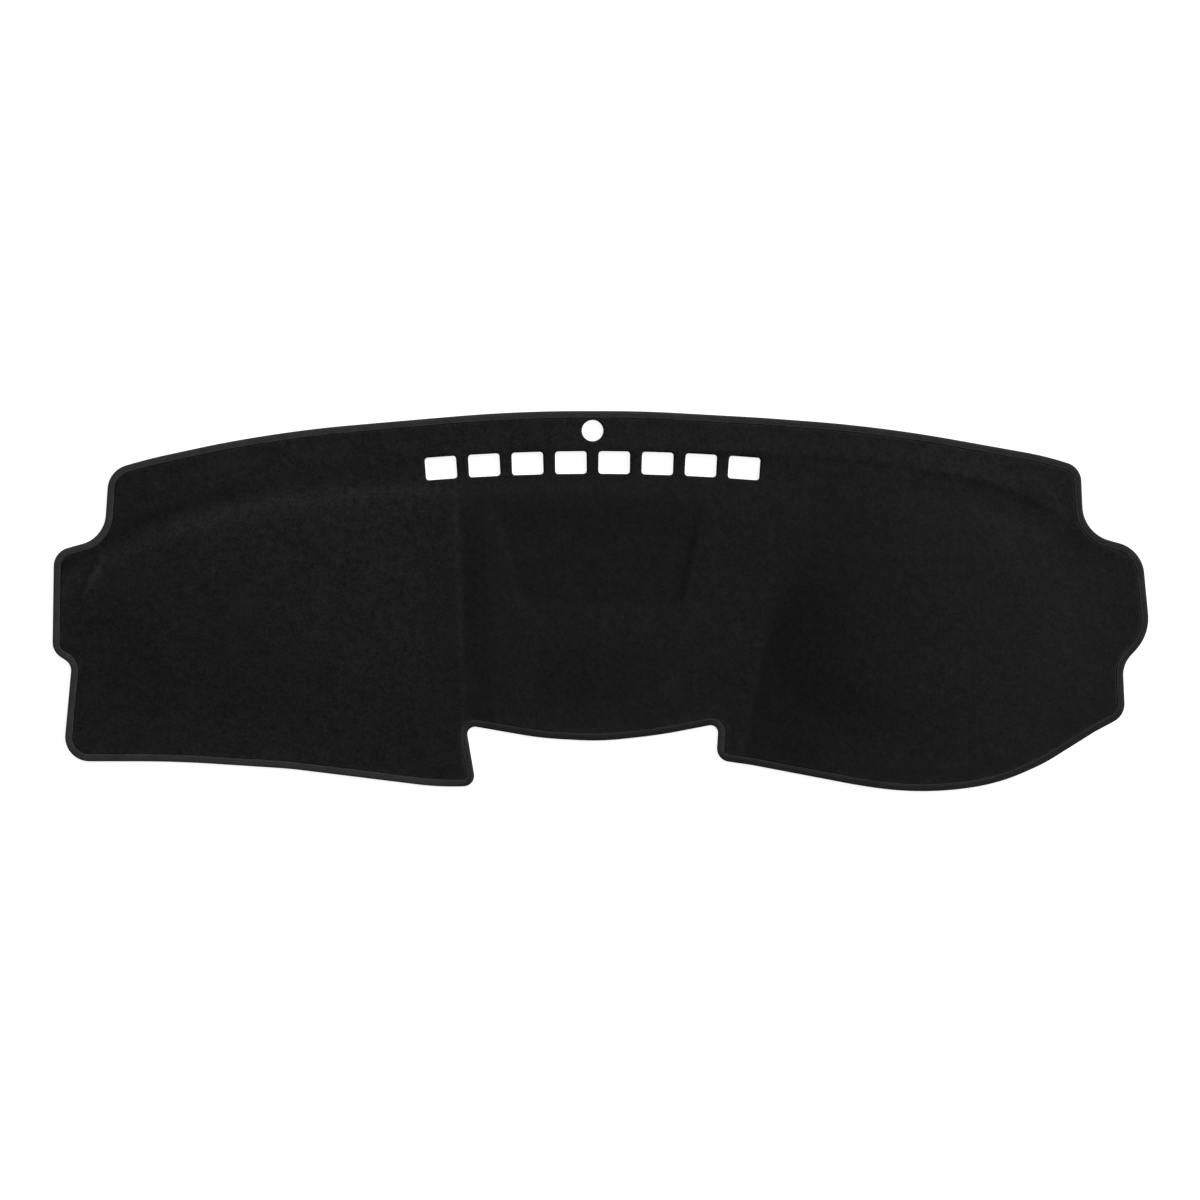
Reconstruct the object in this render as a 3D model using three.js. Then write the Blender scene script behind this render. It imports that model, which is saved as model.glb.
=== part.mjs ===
// Dashboard cover mat for a right-hand-drive car, lying flat: one heat-moulded carpet sheet and the
// tape that is folded and sewn over its outer edge. Lengths are millimetres, +Z is up, +X runs to the
// driver's side and +Y to the windscreen. The pattern is drawn from the dashboard's centre line (X = 0)
// and the crown of the rear edge (Y = 0), and the finished mat is centred on the origin.

import * as THREE from 'three';

// Carpet and tape
const CARPET_THICKNESS = 4;
const EDGE_THICKNESS = 2.1; // the carpet where the tape presses it together
const TAPE_THICKNESS = 0.5;
const TAPE_WIDTH = 9.5; // what shows of the tape on each face
const TAPE_SINK = 0.5; // how far the seam pulls the tape's inner edge down
const CLEARANCE = 0.3; // between the carpet and the tape

// Windscreen end
const REAR_LEFT_WIDTH = 653; // from the centre line to the rear corners
const REAR_RIGHT_WIDTH = 659;
const REAR_LEFT_DROP = 81; // how far the rear edge falls from its crown to the corners
const REAR_RIGHT_DROP = 77;

// Sides: each has a step round the windscreen pillar and one round the door seal
const PILLAR_STEP_WIDTH = 75;
const PILLAR_LEFT_DROP = 172;
const PILLAR_RIGHT_DROP = 166;
const DOOR_STEP_WIDTH = 26;
const DOOR_LEFT_DROP = 343;
const DOOR_RIGHT_DROP = 343;

// Front edge: passenger's side, notch for the centre air outlets, instrument hood
const FRONT_LEFT_DROP = 474;
const LEFT_LOBE_DROP = 507;
const NOTCH_HALF_WIDTH = 171;
const NOTCH_DROP = 425; // from the rear crown to the notch's inner corners
const NOTCH_BELLY = 22; // how far the notch's edge hangs below its corners
const RIGHT_LOBE_DROP = 472;
const HOOD_X = 450;
const HOOD_DROP = 519;
const FRONT_RIGHT_DROP = 412;

// Defroster outlets, on a wide arc, and the light sensor's hole
const VENT_COUNT = 8;
const VENT_LENGTH = 42.3;
const VENT_WIDTH = 30.4;
const VENT_CORNER = 4;
const VENT_PITCH = 58.5;
const VENT_DROP = 70.6;
const VENT_ARC_RADIUS = 2800;
const SENSOR_DIAMETER = 29;
const SENSOR_DROP = 27.6;

// Moulded relief: heights above the floor, and how wide each slope is
const LEDGE_HEIGHT = 3;
const LEDGE_LEFT_SLOPE = 62; // the ledge falls slowly into the groove on the left, sharply on the right
const LEDGE_RIGHT_SLOPE = 16;
const BODY_HEIGHT = 5;
const BODY_LEFT_SLOPE = 24; // and the body rises from it the other way round
const BODY_RIGHT_SLOPE = 45;
const GROOVE_DROP = 73; // the groove between ledge and body runs near this line, at the centre
const GROOVE_FALL = 97; // and this much lower at the pillar steps
const GROOVE_BEND = 3.8;
const GROOVE_LEFT_SHIFT = 19; // towards the seats
const GROOVE_RIGHT_SHIFT = -5;
const SIDE_CHANGE = 200; // left passes into right over this much on each side of the centre line
const RIM_EASE = 14; // how softly the relief follows the outline's corners
const RIM_FLAT = 10; // the outermost band lies flat
const RIM_LEDGE_SLOPE = 30;
const RIM_BODY_SLOPE = 110;
const DOME_ROUNDNESS = 1.2;
const HOOD_HEIGHT = 22; // above the body
const HOOD_CENTRE_X = 497;
const HOOD_CENTRE_DROP = 292;
const HOOD_HALF_LENGTH = 263;
const HOOD_HALF_DEPTH = 187;
const PAD_HEIGHT = 5;
const PAD_CENTRE_X = -430;
const PAD_CENTRE_DROP = 300;
const PAD_HALF_LENGTH = 285;
const PAD_HALF_DEPTH = 200;
const STEP_HEIGHT = 1.8; // from the passenger's side down to the centre console
const STEP_WIDTH = 11;
const STEP_TOP_X = -181;
const STEP_BOTTOM_X = -170;
const TRAY_DEPTH = 3.2;
const TRAY_SLOPE = 15;
const TRAY_TOP_SLOPE = 60; // it starts gradually at the end towards the windscreen
const TRAY_TOP_DROP = 112;
const TRAY_BOTTOM_DROP = 272;
const TRAY_TOP_HALF = 150;
const TRAY_BOTTOM_HALF = 114;
const TRAY_SHIFT = 8; // the tray sits this far to the driver's side
const TRAY_CORNER = 26; // rounding of its two corners towards the seats

// Fineness of the facets
const CHORD_ERROR = 0.3;
const LEAST_STEP = 0.05;
const EDGE_STEP = 8; // between the points that the relief measures its distance from
const VENT_CORNER_STEPS = 3;
const VENT_SIDE_STEPS = [3, 2];
const SENSOR_STEPS = 24;
const LINE_SPACING = 22; // along the lines of relief
const FIELD_SPACING = 26.5; // between them
const LINE_ROOM = 8.5; // how far a point on one line keeps from the others
const RIM_ROOM = 15;
const FIELD_ROOM = 14.5;
const EDGE_ROOM = 11.5; // and how far all of them keep from the carpet's edges

// The outline's corners, anticlockwise from the rear crown: x, drop from the crown, rounding radius.
function outlineCorners() {
  const leftFlank = -REAR_LEFT_WIDTH - PILLAR_STEP_WIDTH;
  const rightFlank = REAR_RIGHT_WIDTH + 1.25 * PILLAR_STEP_WIDTH;
  const hoodEnd = REAR_RIGHT_WIDTH + 0.8 * PILLAR_STEP_WIDTH;
  const hoodReach = hoodEnd - HOOD_X;
  const lobeFall = LEFT_LOBE_DROP - FRONT_LEFT_DROP;
  const hoodFall = HOOD_DROP - RIGHT_LOBE_DROP;
  const hoodLift = HOOD_DROP - FRONT_RIGHT_DROP;
  return [
    // Rear edge, crown to left corner
    [-0.15 * REAR_LEFT_WIDTH, 0.01 * REAR_LEFT_DROP, 2000],
    [-0.335 * REAR_LEFT_WIDTH, 0.135 * REAR_LEFT_DROP, 2000],
    [-0.583 * REAR_LEFT_WIDTH, 0.305 * REAR_LEFT_DROP, 1700],
    [-0.75 * REAR_LEFT_WIDTH, 0.52 * REAR_LEFT_DROP, 1500],
    [-0.914 * REAR_LEFT_WIDTH, 0.8 * REAR_LEFT_DROP, 780],
    [-REAR_LEFT_WIDTH, REAR_LEFT_DROP, 35],
    // Left side
    [-REAR_LEFT_WIDTH - 0.08 * PILLAR_STEP_WIDTH, PILLAR_LEFT_DROP, 43],
    [leftFlank + 0.04 * DOOR_STEP_WIDTH, PILLAR_LEFT_DROP + 0.25 * PILLAR_STEP_WIDTH, 26],
    [leftFlank - 0.04 * DOOR_STEP_WIDTH, DOOR_LEFT_DROP - 0.65 * DOOR_STEP_WIDTH, 24],
    [leftFlank + 0.96 * DOOR_STEP_WIDTH, DOOR_LEFT_DROP, 17],
    [leftFlank + 0.17 * PILLAR_STEP_WIDTH, FRONT_LEFT_DROP, 33],
    // Passenger's front edge
    [-0.862 * REAR_LEFT_WIDTH, FRONT_LEFT_DROP, 1670],
    [-0.625 * REAR_LEFT_WIDTH, FRONT_LEFT_DROP + 0.3 * lobeFall, 610],
    [-1.2 * NOTCH_HALF_WIDTH, LEFT_LOBE_DROP + 0.06 * lobeFall, 400],
    [-0.918 * NOTCH_HALF_WIDTH, LEFT_LOBE_DROP, 15],
    // Notch
    [-NOTCH_HALF_WIDTH, NOTCH_DROP, 10],
    [-0.41 * NOTCH_HALF_WIDTH, NOTCH_DROP + 0.8 * NOTCH_BELLY, 455],
    [0.065 * NOTCH_HALF_WIDTH, NOTCH_DROP + NOTCH_BELLY, 376],
    [0.54 * NOTCH_HALF_WIDTH, NOTCH_DROP + 0.6 * NOTCH_BELLY, 750],
    [0.994 * NOTCH_HALF_WIDTH, NOTCH_DROP - 0.09 * NOTCH_BELLY, 10],
    [0.977 * NOTCH_HALF_WIDTH, RIGHT_LOBE_DROP, 18],
    // Instrument hood
    [1.257 * NOTCH_HALF_WIDTH, RIGHT_LOBE_DROP + 0.15 * hoodFall, 200],
    [HOOD_X - 0.327 * hoodReach, HOOD_DROP - 0.255 * hoodFall, 755],
    [HOOD_X, HOOD_DROP, 454],
    [HOOD_X + 0.375 * hoodReach, HOOD_DROP - 0.15 * hoodLift, 286],
    [HOOD_X + 0.6 * hoodReach, HOOD_DROP - 0.4 * hoodLift, 241],
    [REAR_RIGHT_WIDTH + 0.25 * PILLAR_STEP_WIDTH, FRONT_RIGHT_DROP + 0.205 * hoodLift, 82],
    [hoodEnd, FRONT_RIGHT_DROP, 27],
    // Right side
    [rightFlank - 1.425 * DOOR_STEP_WIDTH, DOOR_RIGHT_DROP, 39],
    [rightFlank, DOOR_RIGHT_DROP - 1.54 * DOOR_STEP_WIDTH, 64],
    [rightFlank - 0.147 * PILLAR_STEP_WIDTH, PILLAR_RIGHT_DROP + 0.29 * PILLAR_STEP_WIDTH, 46],
    [REAR_RIGHT_WIDTH + 0.053 * PILLAR_STEP_WIDTH, PILLAR_RIGHT_DROP, 49],
    // Rear edge, right corner to crown
    [REAR_RIGHT_WIDTH, REAR_RIGHT_DROP, 30],
    [0.93 * REAR_RIGHT_WIDTH, 0.805 * REAR_RIGHT_DROP, 490],
    [0.59 * REAR_RIGHT_WIDTH, 0.286 * REAR_RIGHT_DROP, 1930],
    [0.344 * REAR_RIGHT_WIDTH, 0.13 * REAR_RIGHT_DROP, 2000],
    [0.1 * REAR_RIGHT_WIDTH, 0.01 * REAR_RIGHT_DROP, 1660],
  ].map(([x, drop, radius]) => ({ at: new THREE.Vector2(x, -drop), radius }));
}

// Rounds each corner with a tangent arc. Gives points along the outline, each with its inward normal.
function roundedOutline(corners) {
  const around = (i) => corners[(i + corners.length) % corners.length].at;
  const bends = corners.map(({ at, radius }, i) => {
    const back = around(i - 1).clone().sub(at);
    const ahead = around(i + 1).clone().sub(at);
    const halfAngle = Math.acos(back.dot(ahead) / (back.length() * ahead.length())) / 2;
    return { at, back, ahead, halfAngle, reach: radius / Math.tan(halfAngle) };
  });
  const reachAt = (i) => bends[(i + bends.length) % bends.length].reach;
  const arcs = bends.flatMap(({ at, back, ahead, halfAngle, reach }, i) => {
    const fitsBack = back.length() / (reachAt(i - 1) + reach);
    const fitsAhead = ahead.length() / (reachAt(i + 1) + reach);
    const tangent = reach * Math.min(1, fitsBack, fitsAhead);
    const radius = tangent * Math.tan(halfAngle);
    const turnsLeft = back.cross(ahead) < 0;
    const start = at.clone().addScaledVector(back.clone().normalize(), tangent);
    const inward = new THREE.Vector2(back.y, -back.x).normalize();
    const centre = start.clone().addScaledVector(inward, turnsLeft ? radius : -radius);
    const sweep = (turnsLeft ? 1 : -1) * (Math.PI - 2 * halfAngle);
    const steps = Math.ceil(Math.abs(sweep) / (2 * Math.acos(1 - CHORD_ERROR / radius)));
    return Array.from({ length: steps + 1 }, (_, k) => {
      const turn = (sweep * k) / steps;
      return {
        point: start.clone().rotateAround(centre, turn),
        normal: inward.clone().rotateAround(new THREE.Vector2(), turn),
      };
    });
  });
  return arcs.filter(({ point }, i) => point.distanceTo(arcs.at(i - 1).point) > LEAST_STEP);
}

const offsetOutline = (outline, distance) =>
  outline.map(({ point, normal }) => point.clone().addScaledVector(normal, distance));

// Distance from a point to a closed chain of points.
function distanceToChain(x, y, chain) {
  let least = Infinity;
  for (let i = 0, j = chain.length - 1; i < chain.length; j = i, i += 1) {
    const [a, b] = [chain[j], chain[i]];
    const [dx, dy] = [b.x - a.x, b.y - a.y];
    const along = ((x - a.x) * dx + (y - a.y) * dy) / (dx * dx + dy * dy);
    const t = THREE.MathUtils.clamp(along, 0, 1);
    least = Math.min(least, Math.hypot(x - a.x - t * dx, y - a.y - t * dy));
  }
  return least;
}

const rise = (distance, slope) => THREE.MathUtils.smoothstep(distance, 0, slope);

// A value that passes from the left side's to the right side's across the centre line.
const sided = (x, left, right) =>
  THREE.MathUtils.lerp(left, right, THREE.MathUtils.smoothstep(x, -SIDE_CHANGE, SIDE_CHANGE));

// The line that the groove follows from pillar to pillar, through the row of defroster outlets.
const grooveY = (x) =>
  -GROOVE_DROP - GROOVE_FALL * (Math.abs(x) / REAR_RIGHT_WIDTH) ** GROOVE_BEND;

const ledgeSlope = (x) => sided(x, LEDGE_LEFT_SLOPE, LEDGE_RIGHT_SLOPE);

const bodySlope = (x) => sided(x, BODY_LEFT_SLOPE, BODY_RIGHT_SLOPE);

const grooveShift = (x) => sided(x, GROOVE_LEFT_SHIFT, GROOVE_RIGHT_SHIFT);

function dome(x, y, centreX, centreDrop, halfLength, halfDepth) {
  const across = (x - centreX) / halfLength;
  const along = (y + centreDrop) / halfDepth;
  return Math.max(0, 1 - across * across - along * along) ** DOME_ROUNDNESS;
}

const hoodDome = (x, y) =>
  dome(x, y, HOOD_CENTRE_X, HOOD_CENTRE_DROP, HOOD_HALF_LENGTH, HOOD_HALF_DEPTH);

const padDome = (x, y) =>
  dome(x, y, PAD_CENTRE_X, PAD_CENTRE_DROP, PAD_HALF_LENGTH, PAD_HALF_DEPTH);

// A value that changes evenly from one drop to another, and stays the same beyond them.
function between(drop, [fromDrop, from], [toDrop, to]) {
  const share = (drop - fromDrop) / (toDrop - fromDrop);
  return THREE.MathUtils.lerp(from, to, THREE.MathUtils.clamp(share, 0, 1));
}

// The shallow tray on top of the centre console narrows towards the seats.
const trayHalf = (drop) =>
  between(drop, [TRAY_TOP_DROP, TRAY_TOP_HALF], [TRAY_BOTTOM_DROP, TRAY_BOTTOM_HALF]);

function trayDip(x, y) {
  const [side, end] = [trayHalf(-y) - Math.abs(x - TRAY_SHIFT), y + TRAY_BOTTOM_DROP];
  const inCorner = side < TRAY_CORNER && end < TRAY_CORNER;
  const fromCorner = TRAY_CORNER - Math.hypot(TRAY_CORNER - side, TRAY_CORNER - end);
  const inset = inCorner ? fromCorner : Math.min(side, end);
  return rise(inset, TRAY_SLOPE) * rise(-y - TRAY_TOP_DROP, TRAY_TOP_SLOPE);
}

// The passenger's side ends in a low step beside the centre console.
const stepX = (drop) => between(drop, [GROOVE_DROP, STEP_TOP_X], [NOTCH_DROP, STEP_BOTTOM_X]);

// Distance in from the outline, evened out so that corners leave no crease. It is less than the true one.
function easedInset(x, y, edge) {
  const nearness = edge.map(({ at, share }) => share * Math.exp(-Math.hypot(x - at.x, y - at.y) / RIM_EASE));
  return -RIM_EASE * Math.log(nearness.reduce((sum, value) => sum + value, 0) / (2 * RIM_EASE));
}

// Points along the outline, each with the length that it stands for.
function measuredEdge(outline) {
  const points = offsetOutline(spread(outline, EDGE_STEP), 0);
  return points.map((at, i) => {
    const ahead = points[(i + 1) % points.length];
    return { at, share: (at.distanceTo(points.at(i - 1)) + at.distanceTo(ahead)) / 2 };
  });
}

// Height of the carpet's underside over the floor.
function relief(x, y, edge) {
  const fromRim = easedInset(x, y, edge) - RIM_FLAT;
  const beyondGroove = grooveY(x) - y - grooveShift(x);
  const ledge = LEDGE_HEIGHT * rise(-beyondGroove, ledgeSlope(x)) * rise(fromRim, RIM_LEDGE_SLOPE);
  const step = STEP_HEIGHT * rise(stepX(-y) - x, STEP_WIDTH);
  const domes = HOOD_HEIGHT * hoodDome(x, y) + PAD_HEIGHT * padDome(x, y);
  const shapes = BODY_HEIGHT + step + domes - TRAY_DEPTH * trayDip(x, y);
  const body = shapes * rise(beyondGroove, bodySlope(x)) * rise(fromRim, RIM_BODY_SLOPE);
  return ledge + body;
}

// The outline again, with extra points so that no two are further apart than the spacing.
function spread(outline, spacing) {
  return outline.flatMap((from, i) => {
    const to = outline[(i + 1) % outline.length];
    const steps = Math.ceil(from.point.distanceTo(to.point) / spacing);
    return Array.from({ length: steps }, (_, k) => ({
      point: from.point.clone().lerp(to.point, k / steps),
      normal: from.normal.clone().lerp(to.normal, k / steps),
    }));
  });
}

// The outline with points close enough together to be the carpet's edge beside the other cut edges.
function refined(outline, inset, others) {
  const halve = (from, to) => {
    const [a, b] = offsetOutline([from, to], inset);
    const middle = a.clone().lerp(b, 0.5);
    const reach = 0.52 * a.distanceTo(b);
    if (others.every((other) => middle.distanceTo(other) > reach)) return [from];
    const half = {
      point: from.point.clone().lerp(to.point, 0.5),
      normal: from.normal.clone().lerp(to.normal, 0.5),
    };
    return [...halve(from, half), ...halve(half, to)];
  };
  const even = spread(outline, 2 * EDGE_ROOM);
  return even.flatMap((from, i) => halve(from, even[(i + 1) % even.length]));
}

function ventLoop(index) {
  const angle = ((index - (VENT_COUNT - 1) / 2) * VENT_PITCH) / VENT_ARC_RADIUS;
  const centre = new THREE.Vector2(0, -VENT_DROP - VENT_ARC_RADIUS);
  const middle = new THREE.Vector2(0, -VENT_DROP).rotateAround(centre, -angle);
  const [length, width] = [VENT_LENGTH / 2 - VENT_CORNER, VENT_WIDTH / 2 - VENT_CORNER];
  const corners = [[length, width], [-length, width], [-length, -width], [length, -width]];
  const rounds = corners.map(([x, y], i) =>
    Array.from({ length: VENT_CORNER_STEPS + 1 }, (_, k) => {
      const turn = ((i + k / VENT_CORNER_STEPS) * Math.PI) / 2;
      return new THREE.Vector2(x + VENT_CORNER * Math.cos(turn), y + VENT_CORNER * Math.sin(turn));
    }),
  );
  const loop = rounds.flatMap((round, i) => {
    const [from, to] = [round.at(-1), rounds[(i + 1) % 4][0]];
    const steps = VENT_SIDE_STEPS[i % 2];
    const side = Array.from({ length: steps - 1 }, (_, k) => from.clone().lerp(to, (k + 1) / steps));
    return [...round, ...side];
  });
  return loop.map((point) => point.rotateAround(new THREE.Vector2(), -angle).add(middle));
}

const sensorLoop = () =>
  Array.from({ length: SENSOR_STEPS }, (_, k) => {
    const turn = (2 * Math.PI * k) / SENSOR_STEPS;
    const radius = SENSOR_DIAMETER / 2;
    return new THREE.Vector2(radius * Math.cos(turn), radius * Math.sin(turn) - SENSOR_DROP);
  });

function contains(loop, { x, y }) {
  let inside = false;
  loop.forEach((a, i) => {
    const b = loop.at(i - 1);
    if (a.y > y !== b.y > y && x < a.x + ((y - a.y) * (b.x - a.x)) / (b.y - a.y)) inside = !inside;
  });
  return inside;
}

const spaced = (from, to, spacing) => {
  const steps = Math.max(1, Math.round(Math.abs(to - from) / spacing));
  return Array.from({ length: steps + 1 }, (_, k) => THREE.MathUtils.lerp(from, to, k / steps));
};

// Points along the lines where the relief bends.
function reliefLines(box) {
  const along = spaced(box.min.x, box.max.x, LINE_SPACING);
  const grooveLine = (offsetAt) =>
    along.map((x) => new THREE.Vector2(x, grooveY(x) - grooveShift(x) - offsetAt(x)));
  const stepLine = (offset) =>
    spaced(TRAY_TOP_DROP, LEFT_LOBE_DROP, LINE_SPACING)
      .map((drop) => new THREE.Vector2(stepX(drop) - offset, -drop));
  const trayLine = (inset) => {
    const radius = TRAY_CORNER - inset;
    const straight = spaced(TRAY_TOP_DROP + inset, TRAY_BOTTOM_DROP - TRAY_CORNER, LINE_SPACING);
    const corner = spaced(0, Math.PI / 2, Math.PI / 6).map((turn) => [
      TRAY_BOTTOM_DROP - TRAY_CORNER + radius * Math.sin(turn),
      TRAY_CORNER - radius * Math.cos(turn),
    ]);
    const side = [...straight.map((drop) => [drop, inset]), ...corner];
    const rows = [[TRAY_TOP_DROP + inset, inset], [TRAY_BOTTOM_DROP - inset, TRAY_CORNER]];
    const ends = rows.flatMap(([drop, margin]) =>
      spaced(margin - trayHalf(drop), trayHalf(drop) - margin, LINE_SPACING)
        .map((x) => new THREE.Vector2(TRAY_SHIFT + x, -drop)),
    );
    const sides = side.flatMap(([drop, margin]) =>
      [-1, 1].map((sign) => new THREE.Vector2(TRAY_SHIFT + sign * (trayHalf(drop) - margin), -drop)),
    );
    return [...sides, ...ends];
  };
  return [
    ...stepLine(0),
    ...stepLine(STEP_WIDTH),
    ...trayLine(0),
    ...trayLine(TRAY_SLOPE),
    ...grooveLine(() => 0),
    ...grooveLine(bodySlope),
    ...grooveLine((x) => -ledgeSlope(x)),
  ];
}

// Points along the slope inside the rim.
function rimLines(outline) {
  const edge = offsetOutline(outline, 0);
  return [RIM_FLAT + RIM_EASE, RIM_FLAT + RIM_EASE + RIM_LEDGE_SLOPE].flatMap((inset) =>
    offsetOutline(spread(outline, FIELD_SPACING), inset)
      .filter(({ x, y }) => distanceToChain(x, y, edge) > inset - 1),
  );
}

// Points inside the carpet's edges: first along the lines of relief, then evenly in what is left.
function fieldPoints(outline, loops) {
  const edge = offsetOutline(outline, 0);
  const box = new THREE.Box2().setFromPoints(edge);
  const [outer, ...holes] = loops;
  const kept = [];
  const add = (point, room) => {
    const clear = loops.every((loop) => distanceToChain(point.x, point.y, loop) > EDGE_ROOM);
    const inside = contains(outer, point) && !holes.some((hole) => contains(hole, point));
    if (clear && inside && kept.every((other) => other.distanceTo(point) > room)) kept.push(point);
  };
  reliefLines(box).forEach((point) => add(point, LINE_ROOM));
  rimLines(outline).forEach((point) => add(point, RIM_ROOM));
  const rows = spaced(box.min.y, box.max.y, FIELD_SPACING * Math.sqrt(0.75));
  rows.forEach((y, row) => {
    const shift = ((row % 2) * FIELD_SPACING) / 2;
    const columns = spaced(box.min.x, box.max.x, FIELD_SPACING);
    columns.forEach((x) => add(new THREE.Vector2(x + shift, y), FIELD_ROOM));
  });
  return kept;
}

// Delaunay triangles of scattered points, which are added one at a time. The points are first moved by less
// than a micrometre, so that no four of them share a circle.
function delaunay(points) {
  const nudged = points.map(({ x, y }, i) => [x + 4e-4 * Math.sin(7.3 * i), y + 4e-4 * Math.sin(3.1 * i + 1)]);
  const far = 1e5;
  const all = [...nudged, [-far, -far], [far, -far], [0, far]];
  const withCircle = (corners) => {
    const [[ax, ay], [bx, by], [cx, cy]] = corners.map((i) => all[i]);
    const [px, py, qx, qy] = [bx - ax, by - ay, cx - ax, cy - ay];
    const [p, q, area] = [px * px + py * py, qx * qx + qy * qy, 2 * (px * qy - py * qx)];
    const [x, y] = [(qy * p - py * q) / area, (px * q - qx * p) / area];
    return { corners, x: ax + x, y: ay + y, reach: x * x + y * y };
  };
  let triangles = [withCircle([points.length, points.length + 1, points.length + 2])];
  nudged.forEach(([x, y], number) => {
    const edges = new Map();
    const reaches = (circle) => (x - circle.x) ** 2 + (y - circle.y) ** 2 < circle.reach;
    triangles.filter(reaches).forEach(({ corners }) => {
      corners.forEach((from, k) => {
        const to = corners[(k + 1) % 3];
        if (!edges.delete(`${to},${from}`)) edges.set(`${from},${to}`, [from, to]);
      });
    });
    const fresh = [...edges.values()].map(([from, to]) => withCircle([from, to, number]));
    triangles = [...triangles.filter((circle) => !reaches(circle)), ...fresh];
  });
  return triangles.map(({ corners }) => corners).filter((corners) => Math.max(...corners) < points.length);
}

// The triangles between the outer loop and the holes. One that has all its corners on one loop lies on the
// loop's left where their numbers rise, and only the outer loop's left is carpet.
function betweenLoops(triangles, loops) {
  const starts = loops.map((_, i) => loops.slice(0, i).flat().length);
  const total = loops.flat().length;
  const loopOf = (number) => (number < total ? starts.findLastIndex((start) => start <= number) : -1);
  return triangles.filter((corners) => {
    const [loop, ...others] = corners.map(loopOf);
    if (loop < 0 || others.some((other) => other !== loop)) return true;
    const rising = corners.filter((number, k) => corners[(k + 1) % 3] > number).length === 2;
    return rising === (loop === 0);
  });
}

// The moulded field with its cut-outs, and the pressed edge that the tape takes hold of.
function carpetGeometry(outline) {
  const holes = [...Array(VENT_COUNT).keys()].map(ventLoop);
  holes.push(sensorLoop());
  const fine = refined(outline, TAPE_WIDTH + CLEARANCE, holes.flat());
  const loops = [offsetOutline(fine, TAPE_WIDTH + CLEARANCE), ...holes];
  const points = [...loops.flat(), ...fieldPoints(outline, loops)];
  const sheet = betweenLoops(delaunay(points), loops);
  const edge = measuredEdge(outline);
  const heights = points.map(({ x, y }) => relief(x, y, edge));
  const flat = fine.length;
  const nose = offsetOutline(fine, tapeHeight() / 2);
  const bottom = TAPE_THICKNESS + CLEARANCE;
  const levels = [bottom + EDGE_THICKNESS, bottom];
  const positions = [
    ...points.flatMap(({ x, y }, i) => [x, y, heights[i] + CARPET_THICKNESS]),
    ...points.flatMap(({ x, y }, i) => [x, y, heights[i]]),
    ...levels.flatMap((z) => loops[0].flatMap(({ x, y }) => [x, y, z])),
    ...levels.flatMap((z) => nose.flatMap(({ x, y }) => [x, y, z])),
  ];
  const faces = sheet.flatMap(([a, b, c]) => [a, b, c, points.length + a, points.length + c, points.length + b]);
  const join = (count, upper, lower) => {
    for (let i = 0; i < count; i += 1) {
      const next = (i + 1) % count;
      faces.push(upper + i, lower + i, lower + next, upper + i, lower + next, upper + next);
    }
  };
  const pressed = 2 * points.length;
  const rings = [0, pressed, pressed + 2 * flat, pressed + 3 * flat, pressed + flat, points.length];
  rings.slice(1).forEach((ring, i) => join(flat, rings[i], ring));
  holes.reduce((start, hole) => {
    join(hole.length, points.length + start, start);
    return start + hole.length;
  }, flat);
  return geometryOf(positions, faces);
}

function geometryOf(positions, faces) {
  const geometry = new THREE.BufferGeometry();
  geometry.setAttribute('position', new THREE.Float32BufferAttribute(positions, 3));
  geometry.setIndex(faces);
  return geometry;
}

const tapeHeight = () => EDGE_THICKNESS + 2 * (TAPE_THICKNESS + CLEARANCE) + TAPE_SINK;

// The tape's section: inward distance from the outline, and height. It is a U on its side with a round nose.
function tapeSection() {
  const nose = tapeHeight() / 2;
  const inside = nose - TAPE_THICKNESS;
  const round = (radius, from, to, steps) =>
    Array.from({ length: steps + 1 }, (_, k) => {
      const angle = THREE.MathUtils.lerp(from, to, k / steps);
      return [nose - radius * Math.cos(angle), nose + radius * Math.sin(angle)];
    });
  const innerTop = tapeHeight() - TAPE_SINK;
  return [
    [TAPE_WIDTH, 0],
    ...round(nose, -Math.PI / 2, Math.PI / 2, 4),
    [TAPE_WIDTH, innerTop],
    [TAPE_WIDTH, innerTop - TAPE_THICKNESS],
    ...round(inside, Math.PI / 2, -Math.PI / 2, 2),
    [TAPE_WIDTH, TAPE_THICKNESS],
  ];
}

// Sweeps the section once round the outline.
function bindingGeometry(outline) {
  const section = tapeSection();
  const positions = outline.flatMap(({ point, normal }) =>
    section.flatMap(([inward, z]) => [point.x + normal.x * inward, point.y + normal.y * inward, z]),
  );
  const faces = [];
  outline.forEach((_, i) => {
    const [here, next] = [i * section.length, ((i + 1) % outline.length) * section.length];
    section.forEach((__, k) => {
      const after = (k + 1) % section.length;
      faces.push(here + k, next + after, here + after, here + k, next + k, next + after);
    });
  });
  return geometryOf(positions, faces);
}

const fabric = (color) => new THREE.MeshStandardMaterial({ color, roughness: 0.95, metalness: 0 });

function part(name, geometry, material) {
  const mesh = new THREE.Mesh(geometry, material);
  mesh.name = name;
  mesh.geometry.computeVertexNormals();
  return mesh;
}

const outline = roundedOutline(outlineCorners());
const mat = new THREE.Group();
mat.add(part('carpet', carpetGeometry(outline), fabric(0x1b1b1b)));
mat.add(part('edge_binding', bindingGeometry(outline), fabric(0x2d2d2d)));

const middle = new THREE.Box2().setFromPoints(offsetOutline(outline, 0)).getCenter(new THREE.Vector2());
mat.position.set(-middle.x, -middle.y, 0);

export default mat;
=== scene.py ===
"""Looks of a dashboard cover mat that lies flat: its pile, its folded edge tape and the tape's seam.

Lengths are in millimetres up to the point where a mesh is made, and Blender gets metres. The pattern is
drawn from the dashboard's centre line and the crown of the rear edge, as in the part's source, and then
shifted so that the outline's box is centred on the origin.
"""

import math

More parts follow.
